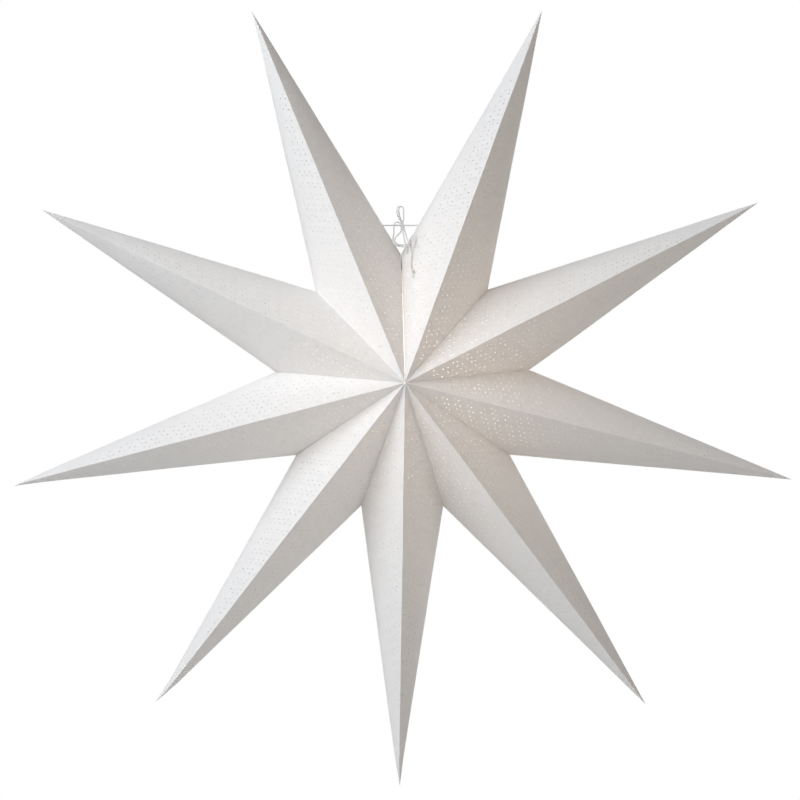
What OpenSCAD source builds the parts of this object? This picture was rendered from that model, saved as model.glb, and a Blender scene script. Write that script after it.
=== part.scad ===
// Nine-armed paper advent star, hung by a cotton string.
// Frame: X to the right, Y away from the viewer, Z up; the star's plane is XZ and its front faces -Y.
// The origin is the inside of the top of the hanging loop. Lengths are in millimetres.

/* [Star] */
// Distance from the star's centre to each tip
star_radius = 360; // [330:5:400]
// Distance from the centre to the valley between two arms, at mid depth
valley_radius = 114.5; // [108:0.5:122]
// How much further out the valley of the open seam lies
seam_reach = 2.5; // [0:0.5:5]
// Distance from mid depth to the front point, where all the ridges meet
half_depth = 95; // [85:1:105]
// How softly an arm's side turns from front to back, as a share of the half depth
side_softness = 0.35; // [0.25:0.05:0.5]
// How far the star's weight spreads the top arms and closes up the bottom ones, in degrees
sag = 4.3; // [0:0.1:5]

/* [Paper] */
// Thickness of the card
paper = 0.4; // [0.3:0.05:0.6]
// Share of the valley profile that the glued strips between two arms take up
strip_share = 0.12; // [0.08:0.01:0.16]
// Width of the glued lap along an arm's back ridge, measured across the star
back_lap = 4; // [3:0.5:6]
// Width of the seam between the first and the last arm, which isn't glued
seam_gap = 1.2; // [0.8:0.1:2]
// Radius of the small hole where the nine sheets meet
centre_hole = 0.9; // [0.6:0.1:1.5]

/* [Pinholes] */
// Diameter of a pinhole
pinhole_d = 1.1; // [0.8:0.1:1.6]
// Steps of the pinhole pattern along an arm
pinhole_steps = 8; // [4:1:10]
// Rows of pinholes on each face at the wide end of an arm
pinhole_rows = 4; // [2:1:4]
// Height of a face that the rows of pinholes take up, from the ridge, as a share
pinhole_share = 0.7; // [0.5:0.05:0.8]

/* [Hanger] */
// Diameter of the wire between the two top arms
wire_d = 1.4; // [1:0.1:1.8]
// Length of the wire's hooks inside the top arms
wire_hook = 10; // [6:1:16]
// Diameter of the cotton string
string_d = 1.2; // [1:0.1:1.3]
// Diameter of the knot on the wire
upper_knot_d = 4.4; // [4:0.1:5]
// Diameter of the knot in front of the seam
lower_knot_d = 3; // [2.6:0.1:3.4]
// Diameter of the knot near the string's end
end_knot_d = 2.4; // [2:0.1:2.6]

/* [Hidden] */

arm_count = 9;
arm_step = 360 / arm_count;
first_arm = arm_step / 2;
// Small leans of the single arms from their even places, in degrees
arm_lean = [0.5, 0.4, 0.2, -0.5, -0.6, 0, 0.6, 0.9, 1.1];

// The hanging point is this far above the top valley, and beside the star's centre
hang_height = 43;
hang_offset = 2.5;
seam_radius = valley_radius + seam_reach;
star_centre = [hang_offset, 0, -(hang_height + seam_radius)];

// Routes of the cotton string, [x, y, z] from the hanging point, chosen by hand after the photo
upper_knot_at = [1.5, 0, -16.5];
lower_knot_at = [7.5, -18, -34.5];
end_knot_at = [10, -42, -59.8];
LOOP_FRONT = [
    [0.8, -0.4, -15.2], [0.8, -0.6, -13.8], [-0.8, -0.9, -11], [-2.4, -1, -7.8], [-2.9, -1, -4.8],
    [-2.8, -0.9, -2.2], [-2, -0.8, -0.2], [0, -0.7, 0.6], [2, -0.7, -0.2], [2.8, -0.7, -2.2],
    [3.1, -0.7, -5], [3.1, -0.7, -8], [2.8, -0.6, -11.2], [2.1, -0.5, -14], [2.2, -0.3, -15.2]
];
LOOP_BACK = [
    [1, 0.8, -15.2], [1.1, 0.9, -13.8], [0.4, 1.8, -11], [-0.7, 2.8, -7.5], [-1.2, 3.1, -4.4],
    [-1.2, 3.1, -1.9], [-0.6, 2.7, -0.2], [0.8, 1.9, 0.5], [2.2, 1.1, -0.2], [2.8, 0.7, -1.9],
    [2.9, 0.8, -5], [3, 0.9, -8], [3, 1, -11.2], [2.6, 1, -13.8], [2.5, 0.8, -15.2]
];
TIE_OUTER = [
    upper_knot_at, [-0.8, -0.9, -14.6], [-2.6, -1.6, -13.6], [-4.5, -2.3, -14.4],
    [-5.6, -3.2, -16.8], [-5.8, -5, -20.4], [-5.9, -8.2, -24.6], [-6.5, -12, -28.5],
    [-6.9, -14.8, -31.4], [-6.2, -15.8, -33.8], [-4.2, -15, -35.4], [-1, -13.4, -36.2],
    [2.8, -14.4, -36.8], [6, -17.6, -37.2], lower_knot_at
];
TIE_INNER = [
    upper_knot_at, [1, -1.6, -18.6], [0.9, -3.6, -20.8], [0.3, -5.6, -22.8], [-1.4, -7.8, -24.9],
    [-3.4, -10, -27], [-4.8, -11.9, -29.1], [-5.2, -13, -31.2], [-4.2, -13, -33.2],
    [-1.8, -12.2, -34.6], [1.4, -13, -35], [4.2, -15.2, -35], lower_knot_at
];
TIE_SEAM = [
    upper_knot_at, [2, -3.2, -17.6], [2.1, -5.6, -20.8], [2.7, -8.8, -25], [3.4, -12.2, -29],
    [3.9, -15.6, -32.4], [4.4, -18.2, -35.6], [5, -19.8, -38.4], [5.5, -20, -40.8],
    [5.9, -18.8, -43], [6.1, -16.2, -44.9], [6.1, -12.8, -46.2]
];
TIE_SIDE = [
    upper_knot_at, [3.2, -1.4, -18.2], [4, -4.2, -21.6], [5, -8.4, -25.8], [6, -12.4, -29.6],
    [6.9, -15.8, -32.4], lower_knot_at, [8.2, -21.2, -36.8], [8.8, -23.6, -39.4],
    [9.2, -23.8, -41.8], [9.4, -21.8, -44], [9.3, -18.6, -45.6]
];
TAIL = [
    lower_knot_at, [7.6, -18, -32.4], [8, -17.4, -30.6], [9, -17, -28.8], [10.6, -17.2, -27.4],
    [12.2, -18.8, -27.5], [13, -21.2, -29.4], [12.7, -23.6, -32.4], [11.7, -25.4, -35.6],
    [10.6, -26.4, -38.4], [9.8, -27.2, -41.4], [9.4, -29.2, -45], [9.1, -32.3, -49.5],
    [8.9, -36, -55], [9.2, -39.2, -57.8], end_knot_at, [10, -43, -62], [9.4, -44.6, -65]
];

profile_steps = 16;
// The pattern starts and ends at these shares of the way from the tip to the valley
first_pinhole = 0.25;
last_pinhole = 0.92;
// The first row's distance from the ridge, as a share of the face
ridge_margin = 0.06;
row_share = (pinhole_share - ridge_margin) / pinhole_rows;
pinhole_h = 4;
// The holes for the wire and the strings are this much wider than they are
hole_play = 0.4;
round_fn = 32;
string_sides = 8;
pinhole_fn = 16;
overlap = 1;
far = 3 * star_radius;

paper_white = [0.95, 0.945, 0.93];
string_white = [0.93, 0.93, 0.92];
wire_grey = [0.72, 0.73, 0.74];

// Angle of arm k from straight up, turning to the left as the viewer sees it
function even_angle(k) = first_arm + arm_step * k;
function arm_angle(k) = even_angle(k) + sag * sin(even_angle(k)) + arm_lean[k];

// Half of the angle between arm k and its neighbour on side 1 (left) or -1 (right)
function half_gap(k, side) =
    let (next = (k + side + arm_count) % arm_count)
    let (turn = side * (arm_angle(next) - arm_angle(k)))
    (turn < 0 ? turn + 360 : turn) / 2;

// The seam lies between the last arm and the first
function is_seam(k, side) = (k == 0 && side < 0) || (k == arm_count - 1 && side > 0);
function valley_reach(k, side) = is_seam(k, side) ? seam_radius : valley_radius;

// Distance of the valley line from the centre at a depth z: a hyperbola through the front and back points
soft = side_softness * half_depth;
function valley_slope(reach) = reach / (norm([half_depth, soft]) - soft);
function valley_curve(z, reach) = reach + valley_slope(reach) * (soft - norm([z, soft]));

// Depths at which the valley line has points, closer together round the side edge
function step_depth(i) = let (t = 2 * i / profile_steps - 1) half_depth * t * sqrt(abs(t));

// A point of the valley line beside an arm, in the arm's frame: x out, y to the left, z to the front
function valley_point(z, beta, side, reach) =
    let (r = valley_curve(z, reach))
    [r * cos(beta), side * r * sin(beta), z];

// Puts an arm's own frame in its place in the star
module in_arm(k) {
    translate(star_centre)
        rotate([0, -90 - arm_angle(k), 0])
            rotate([90, 0, 0])
                children();
}

// The solid that an arm's sheet encloses: straight lines from the tip to the two valley lines beside it
module arm_form(k) {
    tip = [[star_radius, 0, 0]];
    left = [for (i = [0:profile_steps])
        valley_point(step_depth(i), half_gap(k, 1), 1, valley_reach(k, 1))];
    right = [for (i = [1:profile_steps - 1])
        valley_point(step_depth(i), half_gap(k, -1), -1, valley_reach(k, -1))];
    back = 1;
    front = profile_steps + 1;
    first_right = profile_steps + 2;
    last_right = 2 * profile_steps;
    left_sheet = [for (i = [back:front - 1]) [0, i + 1, i]];
    right_sheet = concat(
        [[0, back, first_right]],
        [for (i = [first_right:last_right - 1]) [0, i, i + 1]],
        [[0, last_right, front]]
    );
    left_end = [[for (i = [back:front]) i]];
    right_end = [concat([back, front], [for (i = [last_right:-1:first_right]) i])];
    polyhedron(concat(tip, left, right), concat(left_sheet, right_sheet, left_end, right_end), 4);
}

// How far the inner form is moved towards the centre, so that the wall is as thick as the paper
function wall_shift(k) =
    let (v = valley_point(0, half_gap(k, 1), 1, valley_radius))
    paper * norm([star_radius - v.x, v.y]) / v.y;

// Prism over the strip that is glued to the neighbour, turned in from the sheet along the valley line
module strip_zone(k, side) {
    reach = valley_reach(k, side);
    valley_line = [for (i = [0:profile_steps]) [valley_curve(step_depth(i), reach), step_depth(i)]];
    outer_line = valley_line * (1 + strip_share);
    inner_line = [for (i = [profile_steps:-1:0]) valley_line[i] * (1 - strip_share)];
    setback = paper + (is_seam(k, side) ? seam_gap / 2 : 0);
    rotate([90, 0, side * half_gap(k, side)])
        translate([0, 0, side > 0 ? -overlap : -setback])
            linear_extrude(overlap + setback)
                polygon(concat(outer_line, inner_line));
}

// The sheet itself, open towards its neighbours and the middle of the star
module sheet(k) {
    difference() {
        arm_form(k);
        translate([-wall_shift(k), 0, 0]) arm_form(k);
    }
}

// The two strips along the valley lines, glued to the neighbours or open at the seam
module strips(k) {
    intersection() {
        arm_form(k);
        union() {
            strip_zone(k, 1);
            strip_zone(k, -1);
        }
    }
}

// The lap that closes the sheet: a second layer on one side of the back ridge
module lap(k) {
    shift = wall_shift(k);
    bite = shift / 10;
    intersection() {
        arm_form(k);
        difference() {
            translate([bite - shift, 0, 0]) arm_form(k);
            translate([-2 * shift, 0, 0]) arm_form(k);
        }
        translate([0, -bite, -2 * half_depth])
            cube([star_radius, back_lap + bite, 2 * half_depth - soft]);
    }
}

// Everything on the far side of an arm's half of the seam
module seam_cut(k) {
    side = k == 0 ? -1 : 1;
    rotate([0, 0, side * half_gap(k, side)])
        translate([-far / 2, side > 0 ? -seam_gap / 2 : seam_gap / 2 - far, -far / 2])
            cube(far);
}

// Square to the sheet at a depth z of the valley line, pointing outwards on the left side
function sheet_normal(z, beta, reach) =
    let (fall = -valley_slope(reach) * z / norm([z, soft]))
    let (along = [star_radius, 0, 0] - valley_point(z, beta, 1, reach))
    let (across = [fall * cos(beta), fall * sin(beta), 1])
    let (n = cross(across, along))
    n / norm(n);

// Pinholes on one face: rows that run towards the tip, every second step set half a row over
module pinholes(k, side, face) {
    beta = half_gap(k, side);
    reach = valley_reach(k, side);
    mirror([0, side > 0 ? 0 : 1, 0])
        mirror([0, 0, face > 0 ? 0 : 1])
            for (step = [0:pinhole_steps - 1], row = [0:pinhole_rows - 1]) {
                out = first_pinhole + (last_pinhole - first_pinhole) * step / (pinhole_steps - 1);
                share = ridge_margin + (row + (step % 2) / 2) * row_share;
                z = half_depth * (1 - share);
                n = sheet_normal(z, beta, reach);
                tip = [star_radius, 0, 0];
                translate(tip + out * (valley_point(z, beta, 1, reach) - tip))
                    rotate([0, acos(n.z), atan2(n.y, n.x)])
                        cylinder(h = pinhole_h, d = pinhole_d, center = true, $fn = pinhole_fn);
            }
}

// A round hole round the straight line from p to q
module hole_along(p, q, d) {
    run = q - p;
    translate(p)
        rotate([0, acos(run.z / norm(run)), atan2(run.y, run.x)])
            cylinder(h = norm(run), d = d, $fn = round_fn);
}

// Holes in the last arm for the two strings that close the seam
module tie_holes() {
    for (route = [TIE_SEAM, TIE_SIDE]) {
        inside = len(route) - 3;
        hole_along(route[inside - 1], route[inside + 1], string_d + hole_play);
    }
}

module arm(k) {
    top_arm = k == 0 || k == arm_count - 1;
    color(paper_white)
        difference() {
            in_arm(k)
                difference() {
                    union() {
                        sheet(k);
                        strips(k);
                        lap(k);
                    }
                    cylinder(h = 4 * half_depth, r = centre_hole, center = true, $fn = round_fn);
                    if (top_arm) seam_cut(k);
                    for (side = [-1, 1], face = [-1, 1]) pinholes(k, side, face);
                }
            if (top_arm)
                hole_along(
                    wire_left - [wire_reach, 0, 0],
                    wire_right + [wire_reach, 0, 0],
                    wire_d + hole_play
                );
            if (k == arm_count - 1) tie_holes();
        }
}

// Direction of a route at its point i
function heading(route, i) =
    let (ahead = route[min(i + 1, len(route) - 1)])
    let (run = ahead - route[max(i - 1, 0)])
    run / norm(run);

// A vector made square to a direction, and of length 1
function square_to(v, direction) = let (w = v - (v * direction) * direction) w / norm(w);

// Vectors square to the route that turn as little as possible from one point to the next
function carried(route) = [
    for (
        i = 0, v = square_to([0.3, 1, 0.2], heading(route, 0));
        i < len(route);
        i = i + 1, v = i < len(route) ? square_to(v, heading(route, i)) : v
    ) v
];

// A round string along a route
module string(route) {
    sides = carried(route);
    points = [
        for (i = [0:len(route) - 1], j = [0:string_sides - 1])
            let (turn = 360 * j / string_sides)
            let (other = cross(heading(route, i), sides[i]))
            route[i] + string_d / 2 * (cos(turn) * sides[i] + sin(turn) * other)
    ];
    skin = [
        for (i = [0:len(route) - 2], j = [0:string_sides - 1])
            let (a = i * string_sides + j, b = i * string_sides + (j + 1) % string_sides)
            [a, a + string_sides, b + string_sides, b]
    ];
    start = [[for (j = [0:string_sides - 1]) j]];
    end = [[for (j = [string_sides - 1:-1:0]) (len(route) - 1) * string_sides + j]];
    polyhedron(points, concat(start, skin, end), 4);
}

module ball(at, d) {
    translate(at) sphere(d = d, $fn = round_fn);
}

// Height of the wire above the top valley, and its slope down to the right
wire_height = hang_height + upper_knot_at.z;

// Where the wire goes through the side of arm k: the point of its side edge at the wire's height
function wire_end(k, side) =
    let (turn = arm_angle(k), beta = half_gap(k, side))
    let (v = seam_radius * [cos(beta), side * sin(beta)])
    let (tip = [star_radius, 0])
    let (valley = [-v.x * sin(turn) - v.y * cos(turn), v.x * cos(turn) - v.y * sin(turn)])
    let (top = [-tip.x * sin(turn), tip.x * cos(turn)])
    let (share = (seam_radius + wire_height - valley.y) / (top.y - valley.y))
    [hang_offset + valley.x + share * (top.x - valley.x), 0, upper_knot_at.z];

wire_left = wire_end(0, -1);
wire_right = wire_end(arm_count - 1, 1);
// The wire goes this far into an arm before it turns down
wire_reach = 6;
wire_bend = 3;

// Straight between the two arms, and hooked down inside each of them
module hanger_wire() {
    color(wire_grey) {
        span = wire_right.x - wire_left.x + 2 * wire_reach;
        translate([wire_left.x - wire_reach, 0, wire_left.z])
            rotate([0, 90, 0])
                cylinder(h = span, d = wire_d, $fn = round_fn);
        wire_hook_at(wire_left.x - wire_reach, -1);
        wire_hook_at(wire_right.x + wire_reach, 1);
    }
}

// A quarter turn and a straight leg at one end of the wire
module wire_hook_at(x, side) {
    translate([x, 0, upper_knot_at.z - wire_bend]) {
        rotate([90, 0, 0])
            rotate([0, 0, side > 0 ? 0 : 90])
                rotate_extrude(angle = 90, $fn = round_fn)
                    translate([wire_bend, 0])
                        circle(d = wire_d, $fn = round_fn);
        translate([side * wire_bend, 0, -wire_hook])
            cylinder(h = wire_hook, d = wire_d, $fn = round_fn);
    }
}

module upper_knot() {
    color(string_white)
        difference() {
            ball(upper_knot_at, upper_knot_d);
            translate(upper_knot_at)
                rotate([0, 90, 0])
                    cylinder(h = 2 * upper_knot_d, d = wire_d, center = true, $fn = round_fn);
        }
}

module lower_knot() {
    color(string_white)
        difference() {
            ball(lower_knot_at, lower_knot_d);
            string(TIE_SIDE);
        }
}

module end_knot() {
    color(string_white)
        difference() {
            ball(end_knot_at, end_knot_d);
            string(TAIL);
        }
}

// A string that starts or ends on the surface of a knot
module tied_string(route, through_lower = false) {
    color(string_white)
        difference() {
            string(route);
            ball(upper_knot_at, upper_knot_d);
            if (!through_lower) ball(lower_knot_at, lower_knot_d);
        }
}

for (i = [1:arm_count])
    arm(i - 1);
hanger_wire();
upper_knot();
lower_knot();
end_knot();
tied_string(LOOP_FRONT);  // loop_front
tied_string(LOOP_BACK);  // loop_back
tied_string(TIE_OUTER);  // tie_outer
tied_string(TIE_INNER);  // tie_inner
tied_string(TIE_SEAM);  // tie_seam
tied_string(TIE_SIDE, true);  // tie_side
tied_string(TAIL);  // tail
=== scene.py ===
"""Looks of a nine-armed paper advent star that hangs by a cotton string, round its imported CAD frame."""

import itertools
import math
import random

import bpy
from mathutils import Matrix, Vector, noise
from mathutils.geometry import delaunay_2d_cdt


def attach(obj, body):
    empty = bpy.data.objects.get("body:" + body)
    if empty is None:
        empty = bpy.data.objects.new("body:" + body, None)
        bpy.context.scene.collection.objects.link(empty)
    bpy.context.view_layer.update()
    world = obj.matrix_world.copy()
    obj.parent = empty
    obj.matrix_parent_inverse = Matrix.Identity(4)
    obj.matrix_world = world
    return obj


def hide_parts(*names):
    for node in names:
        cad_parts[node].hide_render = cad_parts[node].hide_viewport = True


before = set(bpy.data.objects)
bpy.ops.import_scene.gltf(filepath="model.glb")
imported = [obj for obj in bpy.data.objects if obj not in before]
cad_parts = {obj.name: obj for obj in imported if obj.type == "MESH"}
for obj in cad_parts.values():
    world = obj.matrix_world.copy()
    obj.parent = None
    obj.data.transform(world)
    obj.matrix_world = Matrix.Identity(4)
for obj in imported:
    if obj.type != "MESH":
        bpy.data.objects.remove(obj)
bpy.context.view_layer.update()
bpy.ops.object.select_all(action="DESELECT")

# Sizes here are in millimetres, as in the part's source, and meshes get them times this
MM = 0.001

# Camera: at the star's height, 3 m away, a touch to the left and below

CAMERA_DISTANCE = 3000
CAMERA_TARGET = Vector((-0.2, 0, -173.5))
CAMERA_LEFT = math.radians(1.1)
CAMERA_BELOW = math.radians(0.9)
PICTURE_WIDTH = 718.2
SENSOR_WIDTH = 36


def turned_to(spot, target):
    """Rotation of a camera or lamp at a spot that faces a target."""
    return (Vector(target) - Vector(spot)).to_track_quat("-Z", "Y").to_euler()


camera_spot = CAMERA_TARGET + CAMERA_DISTANCE * Vector(
    (
        -math.sin(CAMERA_LEFT) * math.cos(CAMERA_BELOW),
        -math.cos(CAMERA_LEFT) * math.cos(CAMERA_BELOW),
        -math.sin(CAMERA_BELOW),
    )
)
bpy.ops.object.camera_add(
    location=camera_spot * MM, rotation=turned_to(camera_spot, CAMERA_TARGET)
)
camera = bpy.context.object
camera.data.sensor_width = SENSOR_WIDTH
camera.data.lens = SENSOR_WIDTH * CAMERA_DISTANCE / PICTURE_WIDTH
bpy.context.scene.camera = camera


# Materials


def colour(code):
    """Linear colour of an sRGB hex value such as "EFEDE8"."""
    parts = [int(code[i : i + 2], 16) / 255 for i in (0, 2, 4)]
    return [c / 12.92 if c <= 0.04045 else ((c + 0.055) / 1.055) ** 2.4 for c in parts]


def add_node(tree, kind, settings=(), inputs=()):
    """Adds a node. Settings are its own properties, inputs are values or the sockets that feed them."""
    node = tree.nodes.new(kind)
    for name, value in dict(settings).items():
        setattr(node, name, value)
    for name, value in dict(inputs).items():
        if isinstance(value, bpy.types.NodeSocket):
            tree.links.new(value, node.inputs[name])
        else:
            node.inputs[name].default_value = value
    return node


def new_material(name):
    """An empty material with its output node."""
    material = bpy.data.materials.new(name)
    material.use_nodes = True
    material.node_tree.nodes.clear()
    return material, add_node(material.node_tree, "ShaderNodeOutputMaterial")


def ramp_between(tree, factor, stops):
    """Colour ramp over a pattern, with (place, colour) stops."""
    ramp = add_node(tree, "ShaderNodeValToRGB", inputs={"Fac": factor})
    elements = ramp.color_ramp.elements
    while len(elements) < len(stops):
        elements.new(0.5)
    for element, (place, code) in zip(elements, stops):
        element.position = place
        element.color = (*colour(code), 1)
    return ramp.outputs["Color"]


def wove_card():
    """Uncoated wove card, bleached: matt, faintly cloudy in its fibres, and it lets some light through."""
    material, output = new_material("wove_card")
    tree = material.node_tree
    place = add_node(tree, "ShaderNodeTexCoord").outputs["Object"]
    # Clouds of thicker and thinner fibre, 6 mm across, as seen against the light
    clouds = add_node(
        tree,
        "ShaderNodeTexNoise",
        inputs={"Vector": place, "Scale": 1 / 0.006, "Detail": 4, "Roughness": 0.55},
    )
    tone = ramp_between(
        tree, clouds.outputs["Fac"], [(0.3, "F9F9F9"), (0.7, "FCFCFC")]
    )
    glow = ramp_between(
        tree, clouds.outputs["Fac"], [(0.3, "FAF1E6"), (0.7, "FDF7EE")]
    )
    # Felt marks and fibre ends, 0.5 mm across
    grain = add_node(
        tree,
        "ShaderNodeTexNoise",
        inputs={"Vector": place, "Scale": 1 / 0.0005, "Detail": 2, "Roughness": 0.6},
    )
    bump = add_node(
        tree,
        "ShaderNodeBump",
        inputs={
            "Strength": 0.15,
            "Distance": 0.00006,
            "Height": grain.outputs["Fac"],
        },
    )
    surface = add_node(
        tree,
        "ShaderNodeBsdfPrincipled",
        inputs={
            "Base Color": tone,
            "Roughness": 0.85,
            "Specular IOR Level": 0.25,
            "Normal": bump.outputs["Normal"],
        },
    )
    through = add_node(
        tree,
        "ShaderNodeBsdfTranslucent",
        inputs={"Color": glow, "Normal": bump.outputs["Normal"]},
    )
    card = add_node(tree, "ShaderNodeMixShader", inputs={"Fac": 0.2})
    tree.links.new(surface.outputs["BSDF"], card.inputs[1])
    tree.links.new(through.outputs["BSDF"], card.inputs[2])
    tree.links.new(card.outputs["Shader"], output.inputs["Surface"])
    return material


def drawn_steel():
    """Galvanised steel wire, drawn: dull silver with fine streaks along it."""
    material, output = new_material("drawn_steel_wire")
    tree = material.node_tree
    place = add_node(tree, "ShaderNodeTexCoord").outputs["Object"]
    # Die marks run along the wire, which lies along X, so the pattern is stretched 40 times that way
    along = add_node(
        tree,
        "ShaderNodeMapping",
        inputs={"Vector": place, "Scale": (1 / 0.008, 1 / 0.0002, 1 / 0.0002)},
    )
    streaks = add_node(
        tree,
        "ShaderNodeTexNoise",
        inputs={"Vector": along.outputs["Vector"], "Scale": 1, "Detail": 3},
    )
    tone = ramp_between(
        tree, streaks.outputs["Fac"], [(0.35, "C6C8CA"), (0.65, "E4E5E6")]
    )
    matt = add_node(
        tree,
        "ShaderNodeMapRange",
        inputs={"Value": streaks.outputs["Fac"], "To Min": 0.28, "To Max": 0.46},
    )
    surface = add_node(
        tree,
        "ShaderNodeBsdfPrincipled",
        inputs={
            "Base Color": tone,
            "Metallic": 1,
            "Roughness": matt.outputs["Result"],
        },
    )
    tree.links.new(surface.outputs["BSDF"], output.inputs["Surface"])
    return material


def cotton_twine():
    """Bleached cotton twine, three plies laid together: soft, with fine fibres that follow each ply."""
    material, output = new_material("cotton_twine")
    tree = material.node_tree
    # The map's U runs along the string in metres and V round it with the twist
    place = add_node(tree, "ShaderNodeUVMap", {"uv_map": "lay"}).outputs["UV"]
    along = add_node(
        tree,
        "ShaderNodeMapping",
        inputs={"Vector": place, "Scale": (1 / 0.0012, 40, 1)},
    )
    fibres = add_node(
        tree,
        "ShaderNodeTexNoise",
        inputs={"Vector": along.outputs["Vector"], "Scale": 1, "Detail": 3},
    )
    tone = ramp_between(
        tree, fibres.outputs["Fac"], [(0.3, "E2E2E1"), (0.7, "F5F5F4")]
    )
    bump = add_node(
        tree,
        "ShaderNodeBump",
        inputs={
            "Strength": 0.6,
            "Distance": 0.00008,
            "Height": fibres.outputs["Fac"],
        },
    )
    surface = add_node(
        tree,
        "ShaderNodeBsdfPrincipled",
        inputs={
            "Base Color": tone,
            "Roughness": 0.9,
            "Specular IOR Level": 0.2,
            "Sheen Weight": 0.25,
            "Sheen Roughness": 0.5,
            "Normal": bump.outputs["Normal"],
        },
    )
    tree.links.new(surface.outputs["BSDF"], output.inputs["Surface"])
    return material


CARD = wove_card()
STEEL = drawn_steel()
TWINE = cotton_twine()


def add_piece(name, points, faces, material):
    """A finished mesh from points in millimetres, riding on the star's one body."""
    mesh = bpy.data.meshes.new(name)
    mesh.from_pydata([Vector(p) * MM for p in points], [], faces)
    mesh.materials.append(material)
    piece = bpy.data.objects.new(name, mesh)
    bpy.context.scene.collection.objects.link(piece)
    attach(piece, "root")
    return piece


# String: routes as in the part's source, from the hanging point

STRING_RADIUS = 0.6
TWIST_PITCH = 4.5
PLIES = 3
PLY_DEPTH = 0.1
STRING_SIDES = 18
STRING_STEP = 0.35
UPPER_KNOT = (1.5, 0, -16.5)
LOWER_KNOT = (7.5, -18, -34.5)
END_KNOT = (10, -42, -59.8)
KNOT_RADIUS = {UPPER_KNOT: 2.2, LOWER_KNOT: 1.5, END_KNOT: 1.2}
# How far a stretch of string runs into its knot
INTO_KNOT = 0.3

LOOP_FRONT = [
    (0.8, -0.4, -15.2), (0.8, -0.6, -13.8), (-0.8, -0.9, -11), (-2.4, -1, -7.8),
    (-2.9, -1, -4.8), (-2.8, -0.9, -2.2), (-2, -0.8, -0.2), (0, -0.7, 0.6), (2, -0.7, -0.2),
    (2.8, -0.7, -2.2), (3.1, -0.7, -5), (3.1, -0.7, -8), (2.8, -0.6, -11.2),
    (2.1, -0.5, -14), (2.2, -0.3, -15.2),
]
LOOP_BACK = [
    (1, 0.8, -15.2), (1.1, 0.9, -13.8), (0.4, 1.8, -11), (-0.7, 2.8, -7.5), (-1.2, 3.1, -4.4),
    (-1.2, 3.1, -1.9), (-0.6, 2.7, -0.2), (0.8, 1.9, 0.5), (2.2, 1.1, -0.2), (2.8, 0.7, -1.9),
    (2.9, 0.8, -5), (3, 0.9, -8), (3, 1, -11.2), (2.6, 1, -13.8), (2.5, 0.8, -15.2),
]
TIE_OUTER = [
    UPPER_KNOT, (-0.8, -0.9, -14.6), (-2.6, -1.6, -13.6), (-4.5, -2.3, -14.4),
    (-5.6, -3.2, -16.8), (-5.8, -5, -20.4), (-5.9, -8.2, -24.6), (-6.5, -12, -28.5),
    (-6.9, -14.8, -31.4), (-6.2, -15.8, -33.8), (-4.2, -15, -35.4), (-1, -13.4, -36.2),
    (2.8, -14.4, -36.8), (6, -17.6, -37.2), LOWER_KNOT,
]
TIE_INNER = [
    UPPER_KNOT, (1, -1.6, -18.6), (0.9, -3.6, -20.8), (0.3, -5.6, -22.8), (-1.4, -7.8, -24.9),
    (-3.4, -10, -27), (-4.8, -11.9, -29.1), (-5.2, -13, -31.2), (-4.2, -13, -33.2),
    (-1.8, -12.2, -34.6), (1.4, -13, -35), (4.2, -15.2, -35), LOWER_KNOT,
]
TIE_SEAM = [
    UPPER_KNOT, (2, -3.2, -17.6), (2.1, -5.6, -20.8), (2.7, -8.8, -25), (3.4, -12.2, -29),
    (3.9, -15.6, -32.4), (4.4, -18.2, -35.6), (5, -19.8, -38.4), (5.5, -20, -40.8),
    (5.9, -18.8, -43), (6.1, -16.2, -44.9), (6.1, -12.8, -46.2),
]
TIE_SIDE = [
    UPPER_KNOT, (3.2, -1.4, -18.2), (4, -4.2, -21.6), (5, -8.4, -25.8), (6, -12.4, -29.6),
    (6.9, -15.8, -32.4), LOWER_KNOT, (8.2, -21.2, -36.8), (8.8, -23.6, -39.4),
    (9.2, -23.8, -41.8), (9.4, -21.8, -44), (9.3, -18.6, -45.6),
]
TAIL = [
    LOWER_KNOT, (7.6, -18, -32.4), (8, -17.4, -30.6), (9, -17, -28.8), (10.6, -17.2, -27.4),
    (12.2, -18.8, -27.5), (13, -21.2, -29.4), (12.7, -23.6, -32.4), (11.7, -25.4, -35.6),
    (10.6, -26.4, -38.4), (9.8, -27.2, -41.4), (9.4, -29.2, -45), (9.1, -32.3, -49.5),
    (8.9, -36, -55), (9.2, -39.2, -57.8), END_KNOT, (10, -43, -62), (9.4, -44.6, -65),
]


def smooth_line(route, step, closed=False):
    """Points about a step apart on a smooth curve through a route's points."""
    points = [Vector(p) for p in route]
    if closed:
        points = [points[-1], *points, points[0], points[1]]
    else:
        points = [2 * points[0] - points[1], *points, 2 * points[-1] - points[-2]]
    line = []
    for a, b, c, d in zip(points, points[1:], points[2:], points[3:]):
        count = max(2, round((c - b).length / step))
        for i in range(count):
            t = i / count
            line.append(
                0.5
                * (
                    2 * b
                    + (c - a) * t
                    + (2 * a - 5 * b + 4 * c - d) * t**2
                    + (-a + 3 * b - 3 * c + d) * t**3
                )
            )
    return line if closed else [*line, points[-2]]


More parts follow.
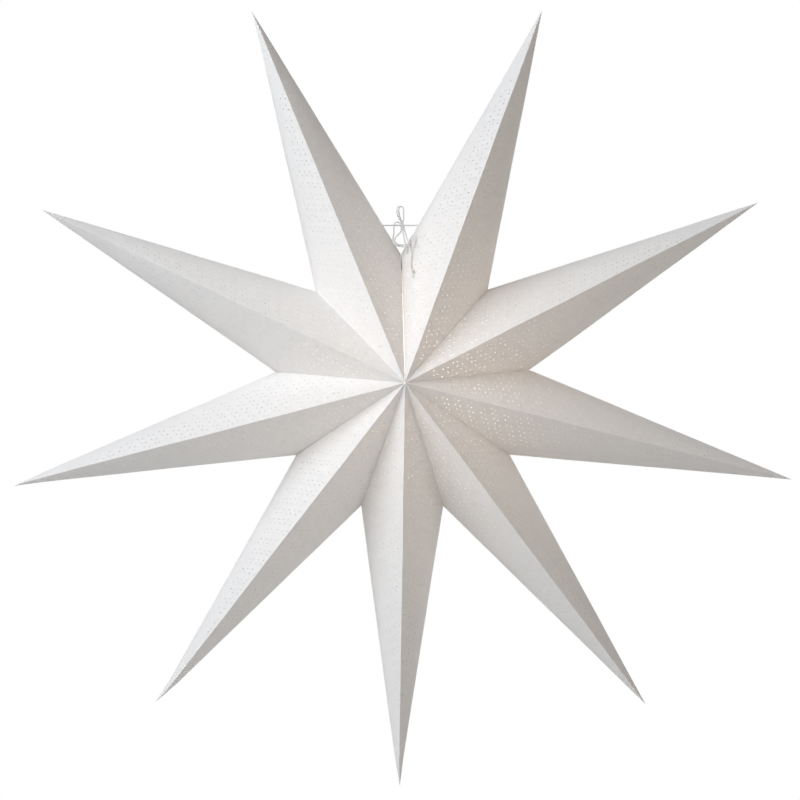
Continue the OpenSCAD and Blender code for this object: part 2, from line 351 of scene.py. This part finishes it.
def twine_mesh(name, line, radius=STRING_RADIUS, closed=False, taper=0):
    """Three-ply twine along a line: a tube with a lobe for each ply, which turns with the twist."""
    count = len(line)
    headings = []
    for i in range(count):
        ahead = line[(i + 1) % count] if closed else line[min(i + 1, count - 1)]
        behind = line[i - 1] if closed else line[max(i - 1, 0)]
        headings.append((ahead - behind).normalized())
    side = headings[0].orthogonal().normalized()
    points, places, walked = [], [], 0
    for i, (spot, heading) in enumerate(zip(line, headings)):
        side = (side - side.dot(heading) * heading).normalized()
        other = heading.cross(side)
        walked += (spot - line[i - 1]).length if i else 0
        full = 1 - taper * i / count
        for j in range(STRING_SIDES):
            turn = math.tau * j / STRING_SIDES
            lobe = abs(math.cos(PLIES / 2 * (turn - math.tau * walked / TWIST_PITCH)))
            reach = radius * full * (1 - PLY_DEPTH + PLY_DEPTH * lobe**0.7)
            points.append(
                spot + reach * (math.cos(turn) * side + math.sin(turn) * other)
            )
            places.append((walked * MM, turn / math.tau - walked / TWIST_PITCH))
    faces = []
    for i in range(count if closed else count - 1):
        for j in range(STRING_SIDES):
            ring, after = i * STRING_SIDES, (i + 1) % count * STRING_SIDES
            k = (j + 1) % STRING_SIDES
            faces.append((ring + j, ring + k, after + k, after + j))
    if not closed:
        last = (count - 1) * STRING_SIDES
        faces.append(tuple(reversed(range(STRING_SIDES))))
        faces.append(tuple(range(last, last + STRING_SIDES)))
    piece = add_piece(name, points, faces, TWINE)
    lay = piece.data.uv_layers.new(name="lay")
    for loop in piece.data.loops:
        lay.data[loop.index].uv = places[loop.vertex_index]
    piece.data.shade_smooth()
    return piece


def laid_string(node, route):
    """One free length of the twine, which stands for its CAD node."""
    line = smooth_line(route, STRING_STEP)
    for knot, radius in KNOT_RADIUS.items():
        if knot in (route[0], route[-1]):
            line = [p for p in line if (p - Vector(knot)).length > radius - INTO_KNOT]
    piece = twine_mesh(f"{node}_twine", line)
    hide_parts(node)


def tied_knot(node, centre, radius, turns, across):
    """A hard-drawn knot: one closed length of twine wound over itself round an axis."""
    axis = Vector(across).normalized()
    one = axis.orthogonal().normalized()
    two = axis.cross(one)
    steps = 64 * turns
    line = []
    for i in range(steps):
        u = math.tau * i / steps
        swing = (turns + 1) * u
        out = (radius - 0.75 * STRING_RADIUS) * (0.8 + 0.2 * math.cos(turns * u))
        along = (radius - 0.8 * STRING_RADIUS) * 0.75 * math.sin(turns * u)
        line.append(
            Vector(centre)
            + out * (math.cos(swing) * one + math.sin(swing) * two)
            + along * axis
        )
    piece = twine_mesh(f"{node}_twine", line, radius=0.9 * STRING_RADIUS, closed=True)
    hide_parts(node)
    return piece


upper_knot = tied_knot("upper_knot", UPPER_KNOT, 2.2, 3, (1, 0, 0))
lower_knot = tied_knot("lower_knot", LOWER_KNOT, 1.6, 2, (0.3, 0.8, -0.5))
end_knot = tied_knot("end_knot", END_KNOT, 1.25, 2, (0, -0.5, -0.9))

laid_string("loop_front", LOOP_FRONT)
laid_string("loop_back", LOOP_BACK)
laid_string("tie_outer", TIE_OUTER)
laid_string("tie_inner", TIE_INNER)
laid_string("tie_seam", TIE_SEAM)
laid_string("tie_side", TIE_SIDE)
laid_string("tail", TAIL)


# Wire: the CAD shape is the real one, so it only gets its steel

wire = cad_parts["hanger_wire"]
wire.data.materials.clear()
wire.data.materials.append(STEEL)
WIRE_HEIGHT = UPPER_KNOT[2]


# Arms: each is one sheet of card, pierced flat, then folded

ARM_COUNT = 9
# How far the arms at the sides hang down, and each arm's own lean to the left, in degrees
SAG = 4.3
ARM_LEAN = [0.5, 0.4, 0.2, -0.5, -0.6, 0, 0.6, 0.9, 1.1]
STAR_RADIUS = 360
VALLEY_RADIUS = 114.5
SEAM_RADIUS = 117
HALF_DEPTH = 95
# Depth over which the side edge is rounded
SOFT = 0.35 * HALF_DEPTH
PAPER = 0.4
SEAM_GAP = 0.8
# The strips reach this share of the way to the star's middle, and their free edges stand back this far
STRIP_SHARE = 0.12
STRIP_GAP = 0.03
# The lap's far and near edges lie this far off the ridge, and it starts this far from the tip
BACK_LAP = 7.5
LAP_SETBACK = 2.4
LAP_START = 40
STAR_CENTRE = Vector((2.5, 0, -160))
TIP = Vector((STAR_RADIUS, 0, 0))

# Radius of the small hole where the ridges meet, in a sheet that is glued and in the two at the seam
CENTRE_HOLE = 1.3
SEAM_CENTRE_HOLE = 2.2
# The sheet is pinched together this far from its tip
TIP_START = 3.2

# Pinholes in pairs on a slanting lattice, in millimetres towards the middle and away from the ridge
PINHOLE_RADIUS = 0.55
PINHOLE_SIDES = 8
PINHOLE_STEPS = (Vector((-3.6, 6)), Vector((6.7, 7.8)))
PINHOLE_PAIR = Vector((-0.9, -5.2))
PINHOLE_JITTER = 0.5
FIRST_ROW = 2.6
WIRE_HOLE = 0.9
TIE_HOLE = 0.95
# Pinholes keep this far from the rims of the holes for the wire and the strings
HOLE_RIM = 2.2
# Bare card beside the side edge, across the star, and at the tip, the valley and the middle
BARE_EDGE = 6.7
BARE_TIP = 62
BARE_VALLEY = 2.4
BARE_MIDDLE = 22

SEED = 9
rng = random.Random(SEED)
# Blender seeds its noise by the clock unless it is told otherwise
noise.seed_set(SEED)


def arm_angle(k):
    """Direction of arm k, from straight up and on to the left."""
    even = math.radians(360 / ARM_COUNT * (k + 0.5))
    return even + math.radians(SAG * math.sin(even) + ARM_LEAN[k])


def half_gap(k, side):
    """Half of the angle between arm k and its neighbour on side 1 (left) or -1 (right)."""
    beside = (k + side) % ARM_COUNT
    return side * (arm_angle(beside) - arm_angle(k)) % math.tau / 2


def is_seam(k, side):
    """Whether a side of arm k lies at the seam between the two top arms."""
    return (k == 0 and side < 0) or (k == ARM_COUNT - 1 and side > 0)


def valley_slope(reach):
    """How fast the valley line nears the star's axis with depth, away from the rounded edge."""
    return reach / (math.hypot(HALF_DEPTH, SOFT) - SOFT)


def valley_curve(z, reach):
    """Distance of the valley line from the star's axis at a depth."""
    return reach + valley_slope(reach) * (SOFT - math.hypot(z, SOFT))


def in_star(k):
    """Puts an arm's own frame (x to the tip, y to the left, z to the front) in its place in the star."""
    return (
        Matrix.Translation(STAR_CENTRE)
        @ Matrix.Rotation(-math.pi / 2 - arm_angle(k), 4, "Y")
        @ Matrix.Rotation(math.pi / 2, 4, "X")
    )


class Side:
    """One side of an arm: a part of a cone from the tip to the valley line, which unrolls to a flat fan."""

    SAMPLES = 480

    def __init__(self, k, side):
        self.side = side
        self.beta = half_gap(k, side)
        self.seam = is_seam(k, side)
        self.reach = SEAM_RADIUS if self.seam else VALLEY_RADIUS
        gap = SEAM_GAP / 2 if self.seam else 0
        self.share = 1 - gap / (STAR_RADIUS * math.sin(self.beta))
        self.runs = []
        self.lengths = []
        self.turns = [0]
        for i in range(self.SAMPLES + 1):
            t = 1 - 2 * i / self.SAMPLES
            z = HALF_DEPTH * t * math.sqrt(abs(t))
            run = self.valley(z) - TIP
            self.lengths.append(run.length * self.share)
            self.runs.append(run.normalized())
            if i:
                self.turns.append(
                    self.turns[-1] + self.runs[i].angle(self.runs[i - 1], 0)
                )
        self.fan = self.turns[-1]
        # The strip's outer face looks at the neighbour
        self.strip_normal = Vector(
            (-math.sin(self.beta), side * math.cos(self.beta), 0)
        )

    def valley(self, z):
        """The point of the valley line at a depth, if the two sheets met there."""
        r = valley_curve(z, self.reach)
        return Vector(
            (r * math.cos(self.beta), self.side * r * math.sin(self.beta), z)
        )

    def turn_at(self, z):
        """Angle of the line from the tip to depth z, from the front ridge in the flat sheet."""
        t = math.copysign(abs(z / HALF_DEPTH) ** (2 / 3), z)
        place = (1 - t) / 2 * self.SAMPLES
        i = min(int(place), self.SAMPLES - 1)
        return self.turns[i] + (place - i) * (self.turns[i + 1] - self.turns[i])

    def edge(self, z):
        """Length and angle in the flat sheet of its edge at a depth."""
        return (self.valley(z) - TIP).length * self.share, self.turn_at(z)

    def edge_at(self, turn):
        """Length from the tip to the valley line at an angle in the flat sheet."""
        i, part = self.place(turn)
        return self.lengths[i] + part * (self.lengths[i + 1] - self.lengths[i])

    def place(self, turn):
        """The sampled line below an angle in the flat sheet, and the share of the way to the next."""
        low, high = 0, self.SAMPLES
        while high - low > 1:
            middle = (low + high) // 2
            if self.turns[middle] <= turn:
                low = middle
            else:
                high = middle
        part = (turn - self.turns[low]) / (self.turns[high] - self.turns[low])
        return low, min(max(part, 0), 1)

    def folded(self, out, turn):
        """Point and outward normal of the sheet for a length from the tip and an angle in the flat."""
        i, part = self.place(turn)
        run = self.runs[i].lerp(self.runs[i + 1], part).normalized()
        across = self.runs[i + 1] - self.runs[i]
        if 0 < i and part < 0.5:
            across = across.normalized() + (self.runs[i] - self.runs[i - 1]).normalized()
        normal = across.cross(run).normalized() * self.side
        return TIP + out * run, normal

    def flat_place(self, point):
        """Length and angle in the flat sheet of a point of it in the arm's frame."""
        run = point - TIP
        best = min(range(len(self.runs)), key=lambda i: self.runs[i].angle(run, 0))
        return run.length, self.turns[best]


def flat(out, turn):
    """Point of the flat sheet at a length from the tip and an angle from the front ridge."""
    return Vector((out * math.cos(turn), out * math.sin(turn)))


def fan_place(spot):
    """Length from the tip and angle from the front ridge of a point of the flat sheet."""
    return spot.length, math.atan2(spot.y, spot.x)


def bare_edge(side, point):
    """Distance of a point from the arm's outline, as seen from the front."""
    corner = side.valley(0)
    run = Vector((corner.x - TIP.x, side.side * corner.y)).normalized()
    away = Vector((point.x - TIP.x, side.side * point.y))
    return abs(run.x * away.y - run.y * away.x)


def pinholes(side, special):
    """Centres of one side's pinholes in the flat sheet, the back mirrored from the front."""
    ridge = (TIP - Vector((0, 0, HALF_DEPTH))).length
    middle = side.turn_at(0)
    one, two = PINHOLE_STEPS
    found = []
    for i, j, second in itertools.product(range(-60, 60), range(-30, 30), (0, 1)):
        centre = Vector((ridge, 0)) + i * one + j * two + second * PINHOLE_PAIR
        if not (BARE_TIP < centre.x < ridge and FIRST_ROW < centre.y < ridge * middle):
            continue
        for back in (False, True):
            shift = Vector((rng.uniform(-1, 1), rng.uniform(-1, 1)))
            spot = centre + PINHOLE_JITTER * shift
            out, turn = fan_place(spot)
            if turn >= middle:
                continue
            point, _ = side.folded(out, turn)
            if (
                out > side.edge_at(turn) - BARE_VALLEY
                or bare_edge(side, point) < BARE_EDGE
                or math.hypot(point.x, point.y) < BARE_MIDDLE
            ):
                continue
            spot = flat(out, side.fan - turn if back else turn)
            if all((spot - c).length > r + HOLE_RIM for c, r in special):
                found.append(spot)
    return found


def special_holes(k, side):
    """Flat centres and radii of the holes for the wire and for the two strings that close the seam."""
    if not side.seam:
        return []
    to_arm = in_star(k).inverted()
    holes = []
    # The wire goes in through the side edge, where the sheet is at the wire's height
    low, high = TIP, side.valley(0)
    top = (in_star(k) @ low).z
    share = (WIRE_HEIGHT - top) / ((in_star(k) @ high).z - top)
    holes.append((flat((high - low).length * share, side.turn_at(0)), WIRE_HOLE))
    if k == ARM_COUNT - 1:
        for route in (TIE_SEAM, TIE_SIDE):
            line = [to_arm @ p for p in smooth_line(route[-4:], 0.2)]
            gaps = []
            for point in line:
                out, turn = side.flat_place(point)
                on_sheet, normal = side.folded(out, turn)
                gaps.append((abs((point - on_sheet).dot(normal)), out, turn))
            _, out, turn = min(gaps)
            holes.append((flat(out, turn), TIE_HOLE))
    return holes


# Depths at the valley whose lines to the tip are kept as edges, so that the soft side stays round
SOFT_LIMIT = 22
HALF_SOFT = [SOFT_LIMIT, 18, 14.5, 11.5, 8.5, 6, 4, 2]
SOFT_DEPTHS = [*HALF_SOFT, 0, *[-z for z in reversed(HALF_SOFT)]]
# Only these lines reach the tip, and the others start further out
LONG_DEPTHS = {SOFT_LIMIT, 8.5, 0, -8.5, -SOFT_LIMIT}
SHORT_START = 30
# Spacing of the points on those lines and on the ridges, and the steps of a valley line past the soft side
LINE_STEP = 22
RIDGE_STEP = 7
VALLEY_STEPS = 22


def ridge_lengths(top_arm):
    """Distances from the tip of the points along both ridges of an arm."""
    full = (TIP - Vector((0, 0, HALF_DEPTH))).length
    end = full - (SEAM_CENTRE_HOLE if top_arm else CENTRE_HOLE)
    count = round((end - TIP_START) / RIDGE_STEP)
    return [TIP_START + (end - TIP_START) * i / count for i in range(count + 1)]


def flat_side(side, ridge, special):
    """One side of an arm as a flat, pierced sheet.

    Gives its points and triangles, the points along its front ridge, back ridge, tip and valley line,
    and the depths of the valley line's points.
    """
    points, edges = [], []

    def add(spot):
        points.append(spot)
        return len(points) - 1

    front = [add(flat(out, 0)) for out in ridge]
    # The valley line, from front to back, without its ends at the centre hole
    limit = math.sqrt(
        (SOFT + (side.reach - CENTRE_HOLE) / valley_slope(side.reach)) ** 2 - SOFT**2
    )
    outer = [
        SOFT_LIMIT + (limit - SOFT_LIMIT) * i / VALLEY_STEPS
        for i in range(1, VALLEY_STEPS + 1)
    ]
    depths = [*reversed(outer), *SOFT_DEPTHS, *[-z for z in outer]]
    valley = [add(flat(*side.edge(z))) for z in depths]
    back = [add(flat(out, side.fan)) for out in reversed(ridge)]
    tip = []
    lines = []
    for z in SOFT_DEPTHS:
        length, turn = side.edge(z)
        start = TIP_START if z in LONG_DEPTHS else SHORT_START
        count = max(1, round((length - start) / LINE_STEP))
        line = [start + (length - start) * i / count for i in range(count)]
        for centre, radius in special:
            out = centre.dot(flat(1, turn))
            if (centre - flat(out, turn)).length < radius + 1.5:
                line = [x for x in line if abs(x - out) > radius + 3]
                line += [out - radius - 1.6, out + radius + 1.6]
        line.sort()
        made = [add(flat(x, turn)) for x in line]
        if z in LONG_DEPTHS:
            tip.append(made[0])
        lines.append([*made, valley[depths.index(z)]])
    outline = [*front, *valley, *back, *reversed(tip)]
    rings = []
    for centre, radius in special:
        count = 2 * PINHOLE_SIDES
        rings.append([add(centre + flat(radius, math.tau * i / count)) for i in range(count)])
    for centre in pinholes(side, special):
        start = rng.uniform(0, math.tau)
        rings.append(
            [
                add(centre + flat(PINHOLE_RADIUS, start + math.tau * i / PINHOLE_SIDES))
                for i in range(PINHOLE_SIDES)
            ]
        )
    for line in lines:
        for a, b in zip(line, line[1:]):
            if all(
                distance_to_edge(centre, points[a], points[b]) >= radius + 0.4
                for centre, radius in special
            ):
                edges.append((a, b))
    _, _, triangles, same, _, inside = delaunay_2d_cdt(
        points, edges, [outline, *rings], 1, 1e-7
    )
    name = [old[0] for old in same]
    faces = [
        tuple(name[i] for i in triangle)
        for triangle, where in zip(triangles, inside)
        if where == [0]
    ]
    return points, faces, front, back, tip, valley, depths


def distance_to_edge(point, a, b):
    """Distance of a point from the stretch between two others."""
    run = b - a
    share = min(max((point - a).dot(run) / run.length_squared, 0), 1)
    return (point - a - share * run).length


# How each tip is bent and curled, in the star's plane: millimetres to the viewer's right and up
TIP_BENDS = [(-1.5, 2.2), (0, 0), (0, -1), (-1.8, 0.8), (1, 0), (0, 0), (0, 0), (0, 0), (0, 0)]
# Length of the pressed, bent end of each arm
TAIL_LENGTH = 18
# Half width of the tail, where the sheet's two sides are pressed together
TAIL_HALF = 0.42
# Depth and breadth of the card's faint waves
WARP = 0.35
WARP_SIZE = 55
# Half of an arm's angle at its tip, seen from the front, in degrees
TIP_ANGLE = 8.8


def settled(point, k):
    """Place in the star of a point of arm k, with its tip pressed thin and bent and its sheet warped."""
    x, y, z = point
    from_tip = max(STAR_RADIUS - x, 0)
    free = min(from_tip / TAIL_LENGTH, 1)
    free *= free * (3 - 2 * free)
    half = from_tip * math.tan(half_gap(k, 1)) * VALLEY_RADIUS / STAR_RADIUS + 1e-6
    y *= min(1, free + (1 - free) * TAIL_HALF / max(half, TAIL_HALF))
    spot = in_star(k) @ Vector((x, y, z))
    bend = max(1 - from_tip / TAIL_LENGTH, 0) ** 2
    spot += bend * Vector((TIP_BENDS[k][0], 0, TIP_BENDS[k][1]))
    return spot + WARP * noise.noise_vector(spot / WARP_SIZE)


def folded_arm(k):
    """One arm's whole sheet: two pierced sides, the strips at the valleys and the lap at the back ridge."""
    left, right = Side(k, 1), Side(k, -1)
    ridge = ridge_lengths(k in (0, ARM_COUNT - 1))
    outer, inner, faces = [], [], []

    def add(point, offset):
        """A point on the card's outer face, and the one under it on the inner face."""
        outer.append(point)
        inner.append(point - PAPER * offset)
        return len(outer) - 1

    def fold(one, two):
        """Offset at a fold between two faces, so that both keep the card's thickness."""
        return (one + two) / (1 + one.dot(two))

    ridges = {}
    for where, turns in (("front", (0, 0)), ("back", (left.fan, right.fan))):
        _, one = left.folded(1, turns[0])
        _, two = right.folded(1, turns[1])
        run = left.runs[0 if where == "front" else -1]
        ridges[where] = [add(TIP + out * run, fold(one, two)) for out in ridge]
    rings = []
    for side in (left, right):
        points, flat_faces, front, back, tip, valley, depths = flat_side(
            side, ridge, special_holes(k, side)
        )
        index = {}
        for i, j in zip(front, ridges["front"]):
            index[i] = j
        for i, j in zip(back, reversed(ridges["back"])):
            index[i] = j
        for i, z in zip(valley, depths):
            point, normal = side.folded(*fan_place(points[i]))
            index[i] = add(point, fold(normal, side.strip_normal))
        used = {i for face in flat_faces for i in face}
        for i in sorted(used - set(index)):
            point, normal = side.folded(*fan_place(points[i]))
            index[i] = add(point, normal)
        for face in flat_faces:
            a, b, c = (index[i] for i in face)
            faces.append((a, b, c) if side.side < 0 else (a, c, b))
        # The strip turned in along the valley line
        free = [
            add(
                outer[index[i]]
                - STRIP_SHARE * side.valley(z)
                - STRIP_GAP * side.strip_normal,
                side.strip_normal,
            )
            for i, z in zip(valley, depths)
        ]
        edge = [index[i] for i in valley]
        for a, b, c, d in zip(edge, edge[1:], free[1:], free):
            faces.append((a, b, c, d) if side.side < 0 else (a, d, c, b))
        rings.append([index[i] for i in tip])
    # The two sides close to a point at the tip
    pole = len(outer)
    outer.append(TIP.copy())
    inner.append(TIP - Vector((0.9 * PAPER / math.sin(math.radians(TIP_ANGLE)), 0, 0)))
    for side, ring in zip((left, right), rings):
        ring = [ridges["front"][0], *ring, ridges["back"][0]]
        for a, b in zip(ring, ring[1:]):
            faces.append((a, b, pole) if side.side > 0 else (a, pole, b))
    # Two layers, joined round every edge of the card
    count = len(outer)
    uses = {}
    for face in faces:
        for a, b in zip(face, face[1:] + face[:1]):
            uses[a, b] = uses.get((a, b), 0) + 1
    closed = list(faces)
    closed += [tuple(i + count for i in reversed(face)) for face in faces]
    closed += [(b, a, a + count, b + count) for a, b in uses if (b, a) not in uses]
    points = [settled(p, k) for p in [*outer, *inner]]
    # The lap: a second layer inside the back ridge
    lap = []
    for out in ridge:
        if out < LAP_START:
            continue
        turn = left.fan - min(BACK_LAP / out, 0.4 * left.fan)
        near, normal = left.folded(out, left.fan - LAP_SETBACK / out)
        far, far_normal = left.folded(out, turn)
        lap.append(
            [
                near - PAPER * 1.02 * normal,
                far - PAPER * 1.02 * far_normal,
                far - PAPER * 2 * far_normal,
                near - PAPER * 2 * normal,
            ]
        )
    base = len(points)
    points += [settled(p, k) for row in lap for p in row]
    for i in range(len(lap) - 1):
        for j in range(4):
            a, b = base + 4 * i + j, base + 4 * i + (j + 1) % 4
            closed.append((a, b, b + 4, a + 4))
    last = base + 4 * (len(lap) - 1)
    closed.append((base + 3, base + 2, base + 1, base))
    closed.append((last, last + 1, last + 2, last + 3))
    piece = add_piece(f"card_arm_{k + 1}", points, closed, CARD)
    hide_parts(f"arm_{k + 1}")
    return piece


for arm in range(ARM_COUNT):
    folded = folded_arm(arm)
    bpy.ops.object.select_all(action="DESELECT")
    folded.select_set(True)
    bpy.context.view_layer.objects.active = folded
    bpy.ops.object.shade_smooth_by_angle(angle=math.radians(25))


# Stage: a plain pale floor below the star, and soft lamps


def pale_floor():
    """Plain matt floor that fades to the white of the room at its rim."""
    material, output = new_material("pale_floor")
    tree = material.node_tree
    paint = add_node(
        tree,
        "ShaderNodeBsdfPrincipled",
        inputs={"Base Color": (*colour("EDECEA"), 1), "Roughness": 0.9},
    )
    white = add_node(tree, "ShaderNodeEmission", inputs={"Strength": 1})
    place = add_node(tree, "ShaderNodeTexCoord").outputs["Object"]
    far = add_node(
        tree, "ShaderNodeVectorMath", {"operation": "LENGTH"}, {0: place}
    ).outputs["Value"]
    fade = add_node(
        tree,
        "ShaderNodeMapRange",
        {"interpolation_type": "SMOOTHSTEP"},
        {"Value": far, "From Min": 0.9, "From Max": 2.2},
    ).outputs["Result"]
    seen = add_node(tree, "ShaderNodeLightPath").outputs["Is Camera Ray"]
    amount = add_node(
        tree, "ShaderNodeMath", {"operation": "MULTIPLY"}, {0: fade, 1: seen}
    ).outputs["Value"]
    mixed = add_node(tree, "ShaderNodeMixShader", inputs={"Fac": amount})
    tree.links.new(paint.outputs["BSDF"], mixed.inputs[1])
    tree.links.new(white.outputs["Emission"], mixed.inputs[2])
    tree.links.new(mixed.outputs["Shader"], output.inputs["Surface"])
    return material


FLOOR_HEIGHT = -900
FLOOR_RADIUS = 2400

bpy.ops.mesh.primitive_circle_add(
    vertices=96, radius=FLOOR_RADIUS * MM, fill_type="NGON"
)
floor = bpy.context.object
floor.name = "floor"
floor.data.transform(Matrix.Translation((0, 0, FLOOR_HEIGHT * MM)))
floor.data.materials.append(pale_floor())


def soft_lamp(name, spot, width, power, tint="FFFFFF"):
    """A square softbox at a place, turned to the star."""
    bpy.ops.object.light_add(
        type="AREA", location=Vector(spot) * MM, rotation=turned_to(spot, STAR_CENTRE)
    )
    lamp = bpy.context.object
    lamp.name = name
    lamp.data.shape = "SQUARE"
    lamp.data.size = width * MM
    lamp.data.energy = power
    lamp.data.color = colour(tint)


soft_lamp("key", (-1500, -1200, 940), 2000, 52, "F8FBFF")
soft_lamp("fill", (1800, -1500, 540), 2000, 17, "FFF4EA")
soft_lamp("back", (900, 2500, 300), 3000, 38)

# The pinholes and the seam show a faint warm light in the star, strongest right of its middle
bpy.ops.object.light_add(type="POINT", location=(STAR_CENTRE + Vector((20, 15, 8))) * MM)
inner_light = bpy.context.object
inner_light.name = "light_in_the_star"
inner_light.data.energy = 0.4
inner_light.data.shadow_soft_size = 40 * MM
inner_light.data.color = colour("FFEEDE")

world = bpy.data.worlds.new("white_room")
bpy.context.scene.world = world
world.use_nodes = True
room = world.node_tree
room.nodes.clear()
rays = add_node(room, "ShaderNodeLightPath")
shown = add_node(
    room,
    "ShaderNodeMath",
    {"operation": "MAXIMUM"},
    {0: rays.outputs["Is Camera Ray"], 1: rays.outputs["Is Glossy Ray"]},
)
white = add_node(room, "ShaderNodeBackground", inputs={"Strength": 1})
ambient = add_node(room, "ShaderNodeBackground", inputs={"Strength": 0.035})
white.inputs["Color"].default_value = (1, 1, 1, 1)
ambient.inputs["Color"].default_value = (1, 1, 1, 1)
both = add_node(room, "ShaderNodeMixShader", inputs={"Fac": shown.outputs["Value"]})
room.links.new(ambient.outputs["Background"], both.inputs[1])
room.links.new(white.outputs["Background"], both.inputs[2])
end = add_node(room, "ShaderNodeOutputWorld")
room.links.new(both.outputs["Shader"], end.inputs["Surface"])

bpy.context.scene.view_settings.view_transform = "Standard"

bpy.context.view_layer.update()
